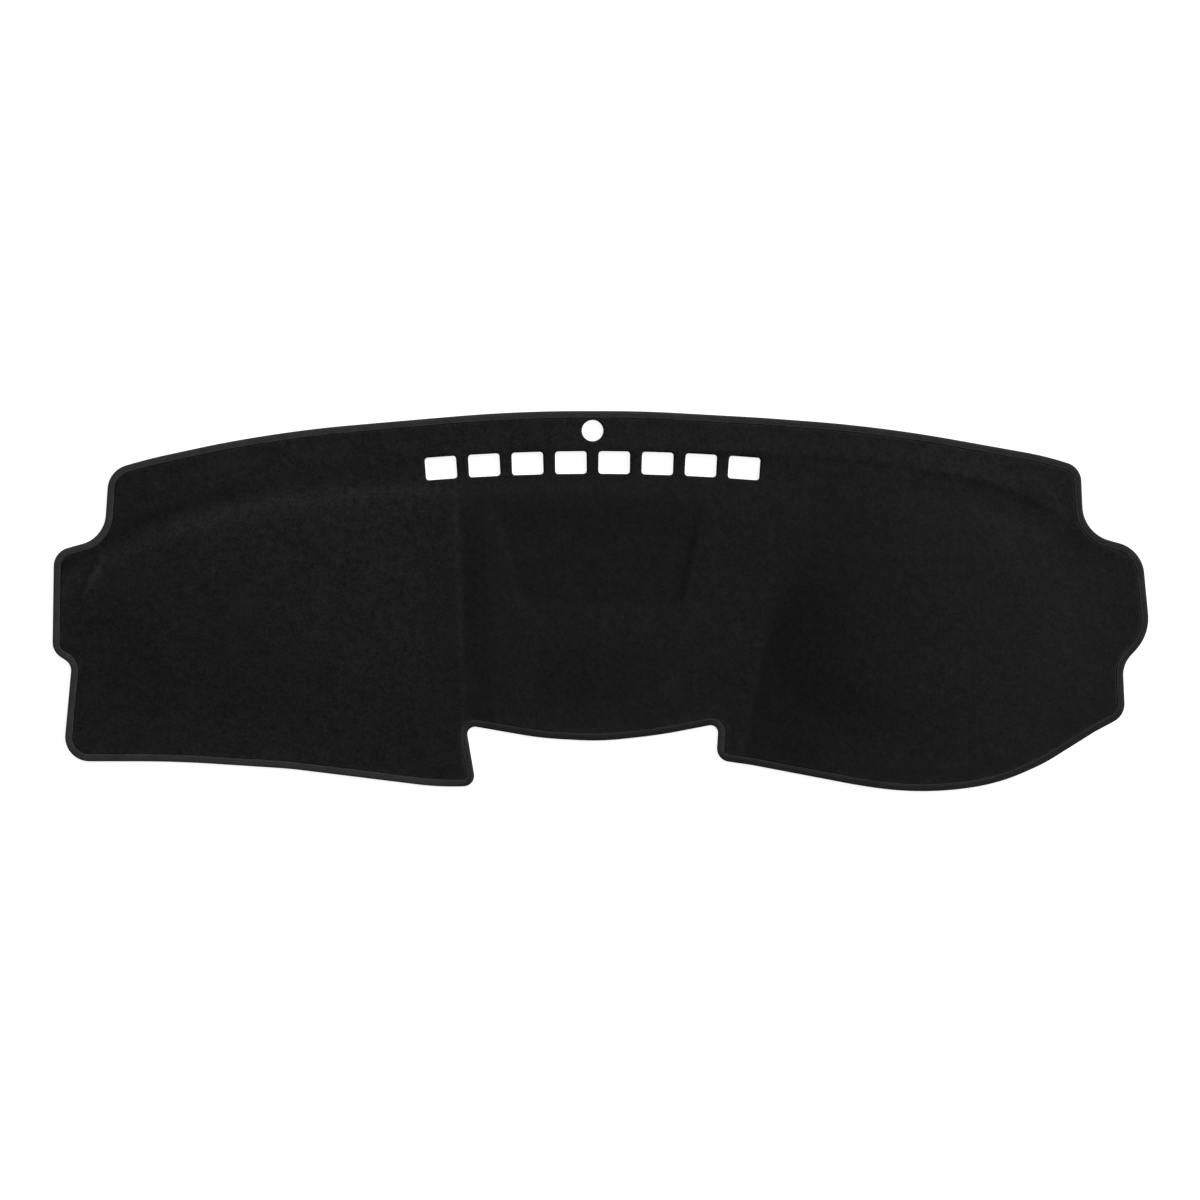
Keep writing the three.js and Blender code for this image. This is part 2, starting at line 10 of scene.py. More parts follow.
import bpy
import numpy as np
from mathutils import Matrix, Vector, geometry, kdtree


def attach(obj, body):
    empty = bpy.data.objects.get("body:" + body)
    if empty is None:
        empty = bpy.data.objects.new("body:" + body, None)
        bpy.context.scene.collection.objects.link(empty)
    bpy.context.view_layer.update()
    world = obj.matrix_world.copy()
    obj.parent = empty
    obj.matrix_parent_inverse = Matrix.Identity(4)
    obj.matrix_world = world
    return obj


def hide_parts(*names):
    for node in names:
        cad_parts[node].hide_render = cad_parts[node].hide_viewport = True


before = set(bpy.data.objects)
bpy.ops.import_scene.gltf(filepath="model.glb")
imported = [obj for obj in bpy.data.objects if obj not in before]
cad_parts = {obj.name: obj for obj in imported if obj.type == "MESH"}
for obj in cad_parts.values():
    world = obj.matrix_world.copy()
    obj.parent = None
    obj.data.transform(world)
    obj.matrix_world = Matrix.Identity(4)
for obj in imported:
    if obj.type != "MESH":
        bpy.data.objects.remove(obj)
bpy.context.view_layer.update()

METRES = 0.001

# Carpet and tape
CARPET_THICKNESS = 4.0
EDGE_THICKNESS = 2.1
TAPE_THICKNESS = 0.5
TAPE_WIDTH = 9.5
TAPE_SINK = 0.5
CLEARANCE = 0.3
TAPE_HEIGHT = EDGE_THICKNESS + 2 * (TAPE_THICKNESS + CLEARANCE) + TAPE_SINK

# Defroster outlets and the sensor's hole
VENT_COUNT = 8
VENT_LENGTH = 42.3
VENT_WIDTH = 30.4
VENT_CORNER = 4.0
VENT_PITCH = 58.5
VENT_DROP = 70.6
VENT_ARC_RADIUS = 2800.0
SENSOR_RADIUS = 14.5
SENSOR_DROP = 27.6

# Moulded relief
LEDGE_HEIGHT = 3.0
LEDGE_SLOPE = (62.0, 16.0)
BODY_HEIGHT = 5.0
BODY_SLOPE = (24.0, 45.0)
GROOVE_DROP = 73.0
GROOVE_FALL = 97.0
GROOVE_BEND = 3.8
GROOVE_SHIFT = (19.0, -5.0)
REAR_HALF_WIDTH = 659.0
SIDE_CHANGE = 200.0
RIM_EASE = 14.0
RIM_FLAT = 10.0
RIM_LEDGE_SLOPE = 30.0
RIM_BODY_SLOPE = 110.0
DOME_ROUNDNESS = 1.2
HOOD_HEIGHT = 22.0
HOOD_CENTRE = (497.0, -292.0)
HOOD_HALF = (263.0, 187.0)
PAD_HEIGHT = 5.0
PAD_CENTRE = (-430.0, -300.0)
PAD_HALF = (285.0, 200.0)
STEP_HEIGHT = 1.8
STEP_WIDTH = 11.0
STEP_TOP_X = -181.0
STEP_BOTTOM_X = -170.0
TRAY_DEPTH = 3.2
TRAY_SLOPE = 15.0
TRAY_TOP_SLOPE = 60.0
TRAY_TOP_DROP = 112.0
TRAY_BOTTOM_DROP = 272.0
TRAY_TOP_HALF = 150.0
TRAY_BOTTOM_HALF = 114.0
TRAY_SHIFT = 8.0
TRAY_CORNER = 26.0
NOTCH_DROP = 425.0
CREASE_START = (-659.0, -196.0)
CREASE_END = (-687.0, -251.0)
CREASE_HEIGHT = 1.3
CREASE_HALF_WIDTH = 3.8
CREASE_END_FADE = 12.0

# Pile. Lumps are height and size, and pairs are the places where a passage begins and ends.
TUFT_SPREAD = 0.16
TUFT_LIMIT = 0.4
PILE_LUMPS = ((0.07, 7.0), (0.10, 3.4), (0.3, 70.0))
PILE_EDGE = (TAPE_WIDTH + 0.4, TAPE_WIDTH + 2.9)
PRESSED_EDGE = (TAPE_WIDTH - 0.5, TAPE_WIDTH + 1.9)
OPENED_EDGE = (TAPE_WIDTH - 0.4, TAPE_WIDTH + 0.8)
CUT_DEPTH = 1.3
CUT_REACH = 2.6
CUT_POWER = 1.5
CUT_CALM = 1.5

# Tape as sewn
TAPE_TOP_FROM = TAPE_HEIGHT / 2 + 0.9
SEAM_INSET = 7.4
SEAM_DIP = 0.16
SEAM_HALF_WIDTH = 0.9
SWELL_HEIGHT = 0.14
SWELL_CHANGE = 0.6
SWELL_INSET = 4.6
SWELL_HALF_WIDTH = 1.8
LIP_WAVER = 0.35
LIP_EDGE = (8.2, 9.4)
TAPE_CLOUD_SCALE = 0.4
SWELL_CLOUD = 9.0
LIP_CLOUD = 5.0
LIP_CLOUD_START = -700

# Fineness
TOP_CELL = 3.15
UNDER_CELL = 8.0
TAPE_STEPS_PER_STITCH = 4
EDGE_SKIP = 8
LOOP_SKIP = 2
ROW_ROOM = 0.6
GRID_JITTER = 0.22
VENT_CORNER_POINTS = 5
VENT_SIDE_SPACING = 2.2
SENSOR_POINTS = 48
LEAST_LINE = 1e-3
STRAIGHT = 1e-9
SAME_POINT = 1e-6
CLOUD_SPAN = 2000

# Seam
STITCH_PITCH = 4.0
STITCH_SHOWN = 3.1
THREAD_RADIUS = 0.24
THREAD_RINGS = 6
THREAD_SIDES = 6
THREAD_SWAY = 0.07
THREAD_TAPER = 0.25
THREAD_ON_TOP = (0.75, -2.3)  # lift in the middle and change to the ends, in radii
THREAD_BELOW = (1.0, 2.0)
THREAD_BELOW_LEVEL = 0.02

# The outline's corners, anticlockwise from the rear crown: x, y, rounding radius.
REAR_EDGE_LEFT = [
    (-98, -1, 2000), (-219, -11, 2000), (-381, -25, 1700),
    (-490, -42, 1500), (-597, -65, 780), (-653, -81, 35),
]
LEFT_SIDE = [
    (-659, -172, 43), (-727, -191, 26), (-729, -326, 24), (-703, -343, 17), (-715, -474, 33),
]
PASSENGER_FRONT = [
    (-563, -474, 1670), (-408, -484, 610), (-205, -509, 400), (-157, -507, 15),
]
NOTCH = [
    (-171, -425, 10), (-70, -442.6, 455), (11, -447, 376),
    (92, -438.2, 750), (170, -423, 10), (167, -472, 18),
]
HOOD_FRONT = [
    (215, -479, 200), (362, -507, 755), (450, -519, 454),
    (551, -503, 286), (611, -476, 241), (678, -434, 82), (719, -412, 27),
]
RIGHT_SIDE = [
    (715.7, -343, 39), (752.7, -303, 64), (741.7, -188, 46), (663, -166, 49),
]
REAR_EDGE_RIGHT = [
    (659, -77, 30), (613, -62, 490), (389, -22, 1930), (227, -10, 2000), (66, -1, 1660),
]
CORNERS = (
    REAR_EDGE_LEFT + LEFT_SIDE + PASSENGER_FRONT + NOTCH + HOOD_FRONT + RIGHT_SIDE + REAR_EDGE_RIGHT
)


# Outline as lines and arcs

def outline_pieces():
    """Lines and arcs in order, each as (start x, start y, heading, curvature, length)."""
    at = np.array([(x, y) for x, y, _ in CORNERS], float)
    radii = np.array([r for _, _, r in CORNERS], float)
    back = np.roll(at, 1, axis=0) - at
    ahead = np.roll(at, -1, axis=0) - at
    back_length = np.hypot(*back.T)
    ahead_length = np.hypot(*ahead.T)
    half_angle = np.arccos((back * ahead).sum(1) / (back_length * ahead_length)) / 2
    reach = radii / np.tan(half_angle)
    fits_back = back_length / (np.roll(reach, 1) + reach)
    fits_ahead = ahead_length / (np.roll(reach, -1) + reach)
    tangent = reach * np.minimum(1, np.minimum(fits_back, fits_ahead))
    turns_left = back[:, 0] * ahead[:, 1] - back[:, 1] * ahead[:, 0] < 0
    starts = at + back / back_length[:, None] * tangent[:, None]
    ends = at + ahead / ahead_length[:, None] * tangent[:, None]
    headings = np.arctan2(-back[:, 1], -back[:, 0])
    pieces = []
    for i in range(len(at)):
        radius = tangent[i] * math.tan(half_angle[i])
        sweep = math.pi - 2 * half_angle[i]
        curvature = (1 if turns_left[i] else -1) / radius
        pieces.append((*starts[i], headings[i], curvature, sweep * radius))
        following = (i + 1) % len(at)
        line = starts[following] - ends[i]
        length = float(np.hypot(*line))
        if length > LEAST_LINE:
            pieces.append((*ends[i], headings[following], 0.0, length))
    return np.array(pieces)


def walk(pieces, distances):
    """Points and inward normals at distances along the outline."""
    starts = np.concatenate([[0], np.cumsum(pieces[:, 4])])
    index = np.clip(np.searchsorted(starts, distances, side="right") - 1, 0, len(pieces) - 1)
    x0, y0, heading, curvature, _ = pieces[index].T
    t = distances - starts[index]
    bent = np.abs(curvature) > STRAIGHT
    k = np.where(bent, curvature, 1.0)
    now = heading + curvature * t
    x = x0 + np.where(bent, (np.sin(now) - np.sin(heading)) / k, t * np.cos(heading))
    y = y0 + np.where(bent, (np.cos(heading) - np.cos(now)) / k, t * np.sin(heading))
    return np.stack([x, y], 1), np.stack([-np.sin(now), np.cos(now)], 1)


PIECES = outline_pieces()
PERIMETER = PIECES[:, 4].sum()
STITCH_COUNT = int(PERIMETER / STITCH_PITCH)
TAPE_STEPS = STITCH_COUNT * TAPE_STEPS_PER_STITCH
ALONG = np.arange(TAPE_STEPS) * PERIMETER / TAPE_STEPS
EDGE, INWARD = walk(PIECES, ALONG)
MIDDLE = (EDGE.min(0) + EDGE.max(0)) / 2


# Relief

def smooth(x):
    x = np.clip(x, 0, 1)
    return x * x * (3 - 2 * x)


def fade(x, places):
    """0 up to the first place, 1 beyond the second, and soft between. The second may be the lower."""
    start, end = places
    return smooth((x - start) / (end - start))


def ridge(x, middle, half):
    """1 in the middle, and 0 from half a width away on."""
    return smooth(1 - np.abs(x - middle) / half)


def bell(x, middle, half):
    """1 in the middle, about a third at half a width away, and then soft to 0."""
    return np.exp(-(((x - middle) / half) ** 2))


def sided(x, values):
    """A value that passes from the left side's to the right side's across the centre line."""
    left, right = values
    return left + (right - left) * smooth((x + SIDE_CHANGE) / (2 * SIDE_CHANGE))


def beyond_groove(x, y):
    """How far towards the seats a point is from the groove between ledge and body."""
    line = -GROOVE_DROP - GROOVE_FALL * (np.abs(x) / REAR_HALF_WIDTH) ** GROOVE_BEND
    return line - y - sided(x, GROOVE_SHIFT)


def in_halves(x, y, centre, half):
    """How far right of the centre and behind it a point is, in half sizes."""
    return (x - centre[0]) / half[0], (y - centre[1]) / half[1]


def dome(x, y, centre, half):
    across, along = in_halves(x, y, centre, half)
    return np.maximum(0, 1 - across**2 - along**2) ** DOME_ROUNDNESS


def tray_inset(x, y):
    """How far inside the tray's rounded outline a point is."""
    half = np.interp(-y, (TRAY_TOP_DROP, TRAY_BOTTOM_DROP), (TRAY_TOP_HALF, TRAY_BOTTOM_HALF))
    side = half - np.abs(x - TRAY_SHIFT)
    end = y + TRAY_BOTTOM_DROP
    corner = TRAY_CORNER - np.hypot(
        np.maximum(TRAY_CORNER - side, 0), np.maximum(TRAY_CORNER - end, 0)
    )
    return np.where((side < TRAY_CORNER) & (end < TRAY_CORNER), corner, np.minimum(side, end))


def tray_dip(x, y):
    return smooth(tray_inset(x, y) / TRAY_SLOPE) * smooth((-y - TRAY_TOP_DROP) / TRAY_TOP_SLOPE)


def step_x(y):
    return np.interp(-y, (GROOVE_DROP, NOTCH_DROP), (STEP_TOP_X, STEP_BOTTOM_X))


def eased_inset(x, y):
    """Distance in from the outline, evened out so that corners leave no crease."""
    edge = EDGE[::EDGE_SKIP]
    nearness = np.zeros(len(x))
    for edge_x, edge_y in edge:
        nearness += np.exp(-np.hypot(x - edge_x, y - edge_y) / RIM_EASE)
    return -RIM_EASE * np.log(nearness * PERIMETER / len(edge) / (2 * RIM_EASE))


def relief(x, y):
    """Height of the carpet's underside over the floor."""
    from_rim = eased_inset(x, y) - RIM_FLAT
    beyond = beyond_groove(x, y)
    ledge = LEDGE_HEIGHT * smooth(-beyond / sided(x, LEDGE_SLOPE))
    body = BODY_HEIGHT + STEP_HEIGHT * smooth((step_x(y) - x) / STEP_WIDTH)
    body += HOOD_HEIGHT * dome(x, y, HOOD_CENTRE, HOOD_HALF)
    body += PAD_HEIGHT * dome(x, y, PAD_CENTRE, PAD_HALF)
    body -= TRAY_DEPTH * tray_dip(x, y)
    body *= smooth(beyond / sided(x, BODY_SLOPE)) * smooth(from_rim / RIM_BODY_SLOPE)
    return ledge * smooth(from_rim / RIM_LEDGE_SLOPE) + body + CREASE_HEIGHT * crease(x, y)


def crease(x, y):
    """A short pinched fold at the left pillar."""
    start = np.array(CREASE_START)
    along = np.array(CREASE_END) - start
    length = np.hypot(*along)
    u = ((x - start[0]) * along[0] + (y - start[1]) * along[1]) / length
    v = ((x - start[0]) * along[1] - (y - start[1]) * along[0]) / length
    ends = smooth(u / CREASE_END_FADE + 0.5) * smooth((length - u) / CREASE_END_FADE + 0.5)
    return ends * bell(v, 0, CREASE_HALF_WIDTH)


# Painted light and shade on the pile: tones that make the carpet's colour lighter or darker along
# the relief's slopes, creases and hollows, where the lamp would light or shade them. A tone goes from
# nothing at the first of two places to full at the second, and two tones stand for two places.

LEDGE_TONES = (-0.14, 0.25)
LEDGE_TONES_X = (-560, 560)
LEDGE_EDGE = (2.8, -11.2)
SHOULDER_TONES = (0.16, 0.34)
SHOULDER_TONES_X = (-640, -470)
SHOULDER_NEAR = (1, 11)
SHOULDER_FAR = (46, 14)
SHOULDER_X = (-120, -280)
BAND_TONE = -0.20
BAND_MIDDLE = -14
BAND_HALF_WIDTH = 20
BAND_X = (-400, -520)
GROOVE_TONE = 0.12
GROOVE_HALF_WIDTH = 12
GROOVE_X = (300, 420)
TRAY_TONE = -0.16
TRAY_EDGE = (-2.7, 6.3)
TRAY_TONE_DROP = (104, 134)
STEP_TONE = 0.18
STEP_TONE_MIDDLE = -4
STEP_TONE_HALF_WIDTH = 5
BELOW_VENTS = (96, 126)
CHANNEL_TONE = -0.18
CHANNEL_NEAR = (0, 5)
CHANNEL_FAR = (8, -8)
CHANNEL_END_X = (-147, -134)
PATCH_TONE = -0.14
PATCH_REAR = (302, 328)
PATCH_FRONT = (412, 372)
PATCH_LEFT = (-105, -45)
PATCH_RIGHT = (94, 82)
BODY_EDGE = (0, 40)
HOOD_PAINTED_LIGHT = 0.05
HOOD_X = (400, 560)
# Painted shade on the hood's left flank, and painted light on its right side above.
FLANK_PAINTED_SHADE = -0.33
FLANK_TOP = (231.0, -297.0)
FLANK_BOTTOM = (207.0, -443.0)
FLANK_WIDTHS = (60, 6)
FLANK_WIDTHS_DROP = (230, 320)
FLANK_FAR = (430, 240)
FLANK_DROP = (130, 290)
PAD_TONE = -0.05
PAD_TONE_SLOPE = 0.08
PAD_EDGE = (0, 12)
FOLD_HIGHLIGHT = 0.75
FOLD_SHADE = -0.25
FOLD_SHADE_SHIFT = (-7, 2)
TAPE_SIDE_PAINTED_LIGHT = (0.3, 0.9)
TAPE_SIDE_BEYOND = (-10, 30)
TAPE_SIDE = (TAPE_WIDTH + 4.5, TAPE_WIDTH - 0.5)
LEAST_TONE = -0.5
MOST_TONE = 1.0
# Patches of painted light and shade.
SPOTS = [  # centre, half length and half depth, tone
    ((-520, -310), (90, 60), -0.12),
    ((-376, -340), (60, 35), -0.08),
    ((-190, -265), (30, 120), -0.12),
    ((-225, -420), (50, 60), -0.12),
    ((-470, -455), (150, 40), 0.10),
    ((-420, -80), (110, 40), 0.13),
    ((-85, -265), (150, 170), -0.07),
    ((-160, -262), (22, 75), -0.10),
    ((-40, -395), (110, 25), -0.09),
    ((140, -125), (30, 25), 0.09),
    ((290, -150), (50, 60), -0.05),
    ((355, -165), (42, 100), -0.10),
    ((265, -270), (50, 90), -0.08),
    ((640, -262), (50, 70), -0.09),
    ((490, -390), (100, 60), 0.24),
    ((470, -60), (70, 40), 0.16),
    ((600, -205), (60, 50), -0.13),
]

# How speckled the pile looks
LEDGE_NAP = (1.05, 0.8)
LEDGE_NAP_X = (-100, 250)
BODY_NAP = (1.05, 0.72)
BODY_NAP_X = (-240, -160)
BODY_NAP_EDGE = (0, 20)


def groove_painted_light(x, beyond):
    """Painted light and shade of the ledge, the groove, the dark band above it and the shoulder beyond
    it.
    """
    ledge = fade(beyond, LEDGE_EDGE) * np.interp(x, LEDGE_TONES_X, LEDGE_TONES)
    shoulder = fade(beyond, SHOULDER_NEAR) * fade(beyond, SHOULDER_FAR) * fade(x, SHOULDER_X)
    shoulder *= np.interp(x, SHOULDER_TONES_X, SHOULDER_TONES)
    band = BAND_TONE * ridge(beyond, BAND_MIDDLE, BAND_HALF_WIDTH) * fade(x, BAND_X)
    groove = GROOVE_TONE * ridge(beyond, 0, GROOVE_HALF_WIDTH) * fade(x, GROOVE_X)
    return ledge + shoulder + band + groove


def console_painted_light(x, y):
    """Painted light and shade of the tray, the channel and the step beside it, and the patch between
    tray and notch.
    """
    from_step = x - step_x(y)
    channel_end = np.interp(-y, (TRAY_TOP_DROP, TRAY_BOTTOM_DROP), CHANNEL_END_X)
    tray = TRAY_TONE * fade(tray_inset(x, y), TRAY_EDGE) * fade(-y, TRAY_TONE_DROP)
    channel = CHANNEL_TONE * fade(from_step, CHANNEL_NEAR) * fade(x - channel_end, CHANNEL_FAR)
    step = STEP_TONE * ridge(from_step, STEP_TONE_MIDDLE, STEP_TONE_HALF_WIDTH)
    patch = PATCH_TONE * fade(-y, PATCH_REAR) * fade(-y, PATCH_FRONT)
    patch *= fade(x, PATCH_LEFT) * fade(x, PATCH_RIGHT)
    return tray + (channel + step) * fade(-y, BELOW_VENTS) + patch


def hood_painted_light(x, y, beyond):
    """Painted light on the instrument hood and painted shade on the flank on its left."""
    turn = (FLANK_BOTTOM[0] - FLANK_TOP[0]) / (FLANK_TOP[1] - FLANK_BOTTOM[1])
    flank_x = FLANK_TOP[0] + (FLANK_TOP[1] - y) * turn
    edge = smooth((x - flank_x) / np.interp(-y, FLANK_WIDTHS_DROP, FLANK_WIDTHS))
    flank = FLANK_PAINTED_SHADE * edge * fade(x, FLANK_FAR) * fade(-y, FLANK_DROP)
    return flank + HOOD_PAINTED_LIGHT * fade(x, HOOD_X) * fade(beyond, BODY_EDGE)


def pad_painted_light(x, y, beyond):
    """Painted light and shade on the passenger's side: darker overall and lighter towards its rear
    right.
    """
    across, along = in_halves(x, y, PAD_CENTRE, PAD_HALF)
    inside = fade(step_x(y) - x, PAD_EDGE) * fade(beyond, BODY_EDGE)
    return inside * (PAD_TONE + PAD_TONE_SLOPE * (across + along))


def painted_light_and_shade(x, y, from_edge):
    """Painted light and shade: how much lighter or darker than plain carpet the pile is drawn."""
    beyond = beyond_groove(x, y)
    tone = groove_painted_light(x, beyond) + console_painted_light(x, y)
    tone += hood_painted_light(x, y, beyond) + pad_painted_light(x, y, beyond)
    for centre, half, strength in SPOTS:
        across, along = in_halves(x, y, centre, half)
        tone += strength * np.exp(-(across**2) - along**2)
    # A painted highlight along the crease at the left pillar, with painted shade just beside it.
    shade_x, shade_y = FOLD_SHADE_SHIFT
    tone += FOLD_HIGHLIGHT * crease(x, y) + FOLD_SHADE * crease(x - shade_x, y - shade_y)
    # Painted light on the pile beside the tape, lightening the shade in the dip next to it.
    tone += fade(from_edge, TAPE_SIDE) * np.interp(beyond, TAPE_SIDE_BEYOND, TAPE_SIDE_PAINTED_LIGHT)
    return np.clip(tone, LEAST_TONE, MOST_TONE)


def nap(x, y):
    """How speckled the pile looks: most on the passenger's side."""
    on_body = fade(beyond_groove(x, y), BODY_NAP_EDGE)
    ledge = np.interp(x, LEDGE_NAP_X, LEDGE_NAP)
    body = np.interp(x, BODY_NAP_X, BODY_NAP)
    return ledge * (1 - on_body) + body * on_body


# Random but repeatable unevenness

def cloud(x, y, size, seed):
    """Smooth noise from -1 to 1 whose lumps are about one size across."""
    rng = np.random.default_rng(seed)
    columns = int(CLOUD_SPAN / size) + 4
    lattice = rng.uniform(-1, 1, (columns, columns))
    u = (x + CLOUD_SPAN / 2) / size
    v = (y + CLOUD_SPAN / 2) / size
    i = np.clip(np.floor(u).astype(int), 0, columns - 2)
    j = np.clip(np.floor(v).astype(int), 0, columns - 2)
    a = smooth(u - i)
    b = smooth(v - j)
    low = lattice[j, i] * (1 - a) + lattice[j, i + 1] * a
    high = lattice[j + 1, i] * (1 - a) + lattice[j + 1, i + 1] * a
    return low * (1 - b) + high * b


# Meshes

def make_object(name, points, faces, material, attributes=()):
    """A mesh object from points in millimetres of the pattern.

    attributes are pairs of a name and one value a point.
    """
    mesh = bpy.data.meshes.new(name)
    placed = (points - np.array([MIDDLE[0], MIDDLE[1], 0.0])) * METRES
    if isinstance(faces, np.ndarray) and faces.ndim == 2:
        corners = faces.shape[1]
        mesh.vertices.add(len(placed))
        mesh.vertices.foreach_set("co", placed.astype(np.float32).ravel())
        mesh.loops.add(faces.size)
        mesh.loops.foreach_set("vertex_index", faces.astype(np.int32).ravel())
        mesh.polygons.add(len(faces))
        mesh.polygons.foreach_set("loop_start", np.arange(0, faces.size, corners, dtype=np.int32))
        mesh.update(calc_edges=True)
    else:
        mesh.from_pydata([tuple(p) for p in placed], [], faces)
    mesh.validate()
    mesh.polygons.foreach_set("use_smooth", [True] * len(mesh.polygons))
    for attribute_name, values in attributes:
        attribute = mesh.attributes.new(attribute_name, "FLOAT", "POINT")
        attribute.data.foreach_set("value", np.asarray(values, np.float32))
    mesh.materials.append(material)
    made = bpy.data.objects.new(name, mesh)
    bpy.context.scene.collection.objects.link(made)
    return made


def vent_frames():
    """Centre and turning angle of each defroster outlet."""
    for index in range(VENT_COUNT):
        angle = (index - (VENT_COUNT - 1) / 2) * VENT_PITCH / VENT_ARC_RADIUS
        x = VENT_ARC_RADIUS * math.sin(angle)
        y = -VENT_DROP - VENT_ARC_RADIUS * (1 - math.cos(angle))
        yield x, y, -angle


def vent_loop(x, y, angle, outset):
    """Points round one outlet, moved outwards by outset."""
    radius = VENT_CORNER + outset
    core = np.array([VENT_LENGTH / 2 - VENT_CORNER, VENT_WIDTH / 2 - VENT_CORNER])
    signs = [(1, 1), (-1, 1), (-1, -1), (1, -1)]
    points = []
    for quarter, sign in enumerate(signs):
        turns = np.linspace(0, math.pi / 2, VENT_CORNER_POINTS) + quarter * math.pi / 2
        arc = np.stack([np.cos(turns), np.sin(turns)], 1) * radius + core * sign
        points.append(arc)
        following = core * signs[(quarter + 1) % 4] + radius * np.array(
            [math.cos(turns[-1]), math.sin(turns[-1])]
        )
        count = int(np.hypot(*(following - arc[-1])) / VENT_SIDE_SPACING)
        shares = np.arange(1, count)[:, None] / count
        points.append(arc[-1] * (1 - shares) + following * shares)
    local = np.concatenate(points)
    c = math.cos(angle)
    s = math.sin(angle)
    return local @ np.array([[c, s], [-s, c]]) + (x, y)


def sensor_loop(outset):
    turns = np.linspace(0, 2 * math.pi, SENSOR_POINTS, endpoint=False)
    circle = np.stack([np.cos(turns), np.sin(turns)], 1)
    return circle * (SENSOR_RADIUS + outset) + (0, -SENSOR_DROP)


def hole_inset(x, y):
    """Distance outside the nearest cut-out. Negative inside one."""
    nearest = np.hypot(x, y + SENSOR_DROP) - SENSOR_RADIUS
    for vx, vy, angle in vent_frames():
        c = math.cos(angle)
        s = math.sin(angle)
        u = np.abs((x - vx) * c + (y - vy) * s) - VENT_LENGTH / 2 + VENT_CORNER
        v = np.abs((y - vy) * c - (x - vx) * s) - VENT_WIDTH / 2 + VENT_CORNER
        outside = np.hypot(np.maximum(u, 0), np.maximum(v, 0)) + np.minimum(np.maximum(u, v), 0)
        nearest = np.minimum(nearest, outside - VENT_CORNER)
    return nearest


EDGE_TREE = kdtree.KDTree(len(EDGE))
for number, (edge_x, edge_y) in enumerate(EDGE):
    EDGE_TREE.insert((edge_x, edge_y, 0), number)
EDGE_TREE.balance()


def edge_inset(x, y):
    """Distance in from the outline. Points outside it get a negative value."""
    found = np.empty(len(x))
    for i, (px, py) in enumerate(zip(x, y)):
        _, number, distance = EDGE_TREE.find((px, py, 0))
        inside = (px - EDGE[number, 0]) * INWARD[number, 0] + (py - EDGE[number, 1]) * INWARD[number, 1]
        found[i] = distance if inside > 0 else -distance
    return found


# Rows of points that follow the cut edges, from the edge into the field
EDGE_RINGS = [3.0, 6.0, 9.2, 9.9, 10.7, 11.6, 12.8]
HOLE_RINGS = [0.0, 0.3, 0.9, 1.8, 3.2]
UNDER_EDGE_RINGS = [3.0, 9.2, 10.2]
UNDER_HOLE_RINGS = [0.0, 2.0]


def face_points(cell, edge_rings, hole_rings, seed):
    """Points for one face of the carpet, and the loops round its edge and its holes."""
    vents = list(vent_frames())
    loops = [(EDGE + INWARD * edge_rings[0])[::LOOP_SKIP]]
    loops += [vent_loop(*vent, hole_rings[0]) for vent in vents]
    loops.append(sensor_loop(hole_rings[0]))
    skip = LOOP_SKIP * max(1, round(cell / TOP_CELL))
    edge_rows = np.concatenate([(EDGE + INWARD * inset)[::skip] for inset in edge_rings[1:]])
    hole_rows = np.concatenate(
        [vent_loop(*vent, outset) for outset in hole_rings[1:] for vent in vents]
        + [sensor_loop(outset) for outset in hole_rings[1:]]
    )
    edge_rows = edge_rows[hole_inset(*edge_rows.T) > ROW_ROOM]
    hole_rows = hole_rows[edge_inset(*hole_rows.T) > edge_rings[-1]]
    low = EDGE.min(0)
    high = EDGE.max(0)
    rows = np.arange(low[1], high[1], cell * math.sqrt(3) / 2)
    grid_x, grid_y = np.meshgrid(np.arange(low[0], high[0], cell), rows)
    grid_x = grid_x + (np.arange(len(rows)) % 2)[:, None] * cell / 2
    grid = np.stack([grid_x.ravel(), grid_y.ravel()], 1)
    grid += np.random.default_rng(seed).uniform(-GRID_JITTER, GRID_JITTER, grid.shape) * cell
    clear = (edge_inset(*grid.T) > edge_rings[-1] + cell / 2) & (
        hole_inset(*grid.T) > hole_rings[-1] + cell / 2
    )
    return np.concatenate([*loops, edge_rows, hole_rows, grid[clear]]), loops


def triangulate(points, loops):
    """The sheet between its outer loop and its holes: (points, triangles, loops' new numbers)."""
    starts = np.cumsum([0] + [len(loop) for loop in loops])
    numbers = [np.arange(start, start + len(loop)) for start, loop in zip(starts, loops)]
    edges = [(int(a), int(b)) for loop in numbers for a, b in zip(loop, np.roll(loop, -1))]
    made = geometry.delaunay_2d_cdt([Vector(p) for p in points], edges, [], 0, SAME_POINT)
    corners = np.array([tuple(v) for v in made[0]])
    faces = np.array(made[2])
    origin = np.array([ids[0] for ids in made[3]])
    loop_of = np.searchsorted(starts, origin, side="right") - 1
    loop_of[origin >= starts[-1]] = -1
    f_loop = loop_of[faces]
    f_origin = origin[faces]
    one_loop = (f_loop[:, 0] >= 0) & (f_loop == f_loop[:, :1]).all(1)
    goes_up = (np.roll(f_origin, -1, axis=1) > f_origin).sum(1) == 2
    stays = ~one_loop | (goes_up == (f_loop[:, 0] == 0))
    renumbered = np.empty(len(points), int)
    renumbered[origin] = np.arange(len(origin))
    return corners, faces[stays], [renumbered[loop] for loop in numbers]


def carpet_heights(points, top):
    """Heights of the carpet's top or underside, and distances from the outline and from the holes."""
    x, y = points.T
    from_edge = np.maximum(edge_inset(x, y), 0)
    from_hole = hole_inset(x, y)
    height = relief(x, y)
    under_tape = TAPE_THICKNESS + CLEARANCE
    opened = fade(from_edge, OPENED_EDGE)
    bottom = height + under_tape * (1 - opened)
    if not top:
        return bottom, from_edge, from_hole
    shoulder = fade(from_edge, PRESSED_EDGE)
    thickness = EDGE_THICKNESS + (CARPET_THICKNESS - EDGE_THICKNESS) * shoulder
    return bottom + thickness, from_edge, from_hole


